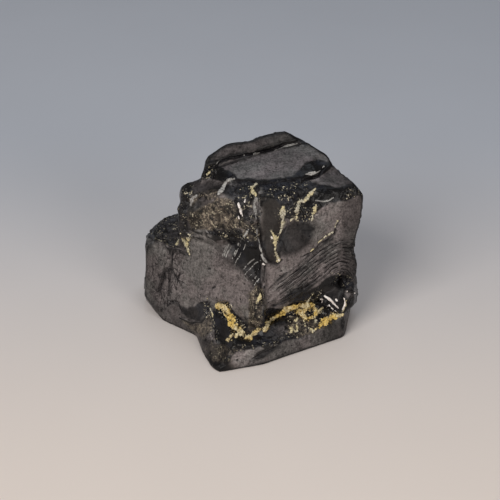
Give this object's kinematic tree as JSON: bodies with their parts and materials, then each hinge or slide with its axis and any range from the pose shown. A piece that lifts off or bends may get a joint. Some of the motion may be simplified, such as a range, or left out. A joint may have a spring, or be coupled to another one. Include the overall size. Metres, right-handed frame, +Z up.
{
  "type": "raw shungite stone",
  "caption": "Fractured lump of raw black shungite with flat satin faces, a stepped foot, an open seam and a flat underside to rest on.",
  "frame": {"origin": "on the flat underside, below the middle of the stone's bounding box", "axes": "+Z up; +X along the longest side, towards the stepped foot's knob; -Y towards the two broad satin faces"},
  "size_m": [0.063, 0.052, 0.0517],
  "materials": {
    "shungite": "satin",
    "ochre_crust": "matte",
    "pale_vein": "matte"
  },
  "bodies": {
    "root": {"shungite_stone": "shungite"}
  },
  "joints": []
}
